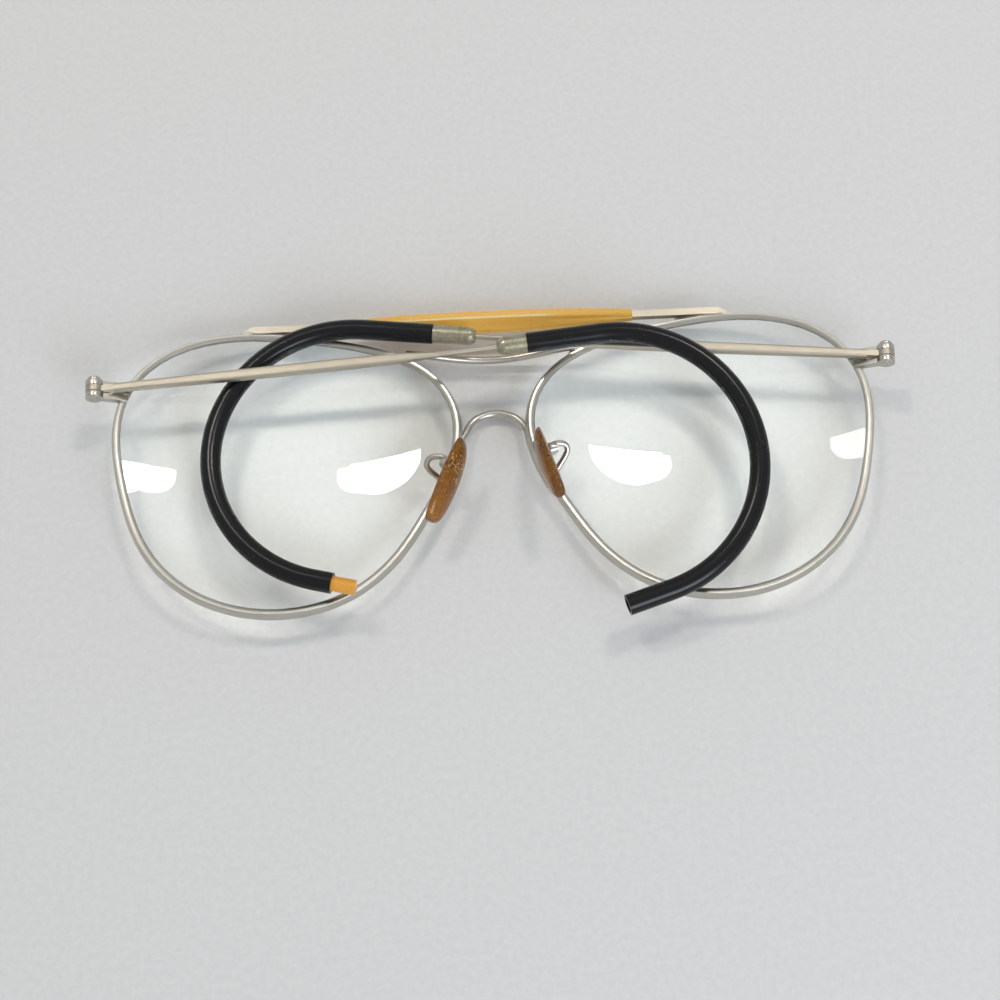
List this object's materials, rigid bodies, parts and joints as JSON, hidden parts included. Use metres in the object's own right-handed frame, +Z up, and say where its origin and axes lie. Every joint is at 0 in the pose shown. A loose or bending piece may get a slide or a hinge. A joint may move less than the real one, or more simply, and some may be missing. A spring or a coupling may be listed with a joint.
{
  "type": "aviator eyeglasses",
  "caption": "Wire-rim aviator eyeglasses with teardrop lenses, a straight brow bar in a plastic sleeve, nose pads and folded cable temples with ear curls.",
  "frame": {"origin": "centre of the outline on the surface that the glasses lie on, lens fronts down and temples folded", "axes": "+X along the brow to the wearer's right, +Y towards the brow, +Z up, from the lens fronts towards the wearer"},
  "size_m": [0.1405, 0.0585, 0.0155],
  "materials": {
    "frame_metal": "satin",
    "screw_metal": "satin",
    "ferrule_metal": "dull, with olive tarnish",
    "lens_glass": "clear, polished",
    "sleeve_honey": "honey, semi-gloss",
    "pad_amber": "amber, translucent",
    "core_amber": "amber",
    "tube_black": "gloss"
  },
  "bodies": {
    "front": {"rim_left": "frame_metal", "rim_right": "frame_metal", "lens_left": "lens_glass", "lens_right": "lens_glass", "bridge_wire": "frame_metal", "nose_arch": "frame_metal", "brow_bar": "frame_metal", "brow_sleeve": "sleeve_honey", "lug_upper_left": "frame_metal", "lug_lower_left": "frame_metal", "lug_upper_right": "frame_metal", "lug_lower_right": "frame_metal", "hinge_screw_left": "screw_metal", "hinge_screw_right": "screw_metal", "pad_arm_left": "frame_metal", "pad_arm_right": "frame_metal"},
    "pad_left": {"nose_pad_left": "pad_amber", "pad_stud_left": "frame_metal"},
    "pad_right": {"nose_pad_right": "pad_amber", "pad_stud_right": "frame_metal"},
    "temple_left": {"temple_arm_left": "frame_metal", "ferrule_left": "ferrule_metal", "cable_core_left": "core_amber", "ear_tube_left": "tube_black"},
    "temple_right": {"temple_arm_right": "frame_metal", "ferrule_right": "ferrule_metal", "cable_core_right": "core_amber", "ear_tube_right": "tube_black"}
  },
  "joints": [
    {"name": "temple_left_hinge", "type": "hinge", "parent": "front", "child": "temple_left", "pos_m": [-0.0686, 0.0148, 0.00995], "axis": [0.0541, -0.9977, 0.0401], "range_deg": [0, 92]},
    {"name": "temple_right_hinge", "type": "hinge", "parent": "front", "child": "temple_right", "pos_m": [0.0686, 0.0148, 0.00995], "axis": [0.108, 0.9934, -0.0399], "range_deg": [0, 94.6]},
    {"name": "pad_left_stud", "type": "hinge", "parent": "front", "child": "pad_left", "pos_m": [-0.00695, -0.00212, 0.00973], "axis": [0.8348, -0.4305, 0.3431], "range_deg": [-30, 4]},
    {"name": "pad_right_stud", "type": "hinge", "parent": "front", "child": "pad_right", "pos_m": [0.00785, -0.00002, 0.00965], "axis": [0.9775, 0.1959, -0.0777], "range_deg": [-2, 29]}
  ]
}
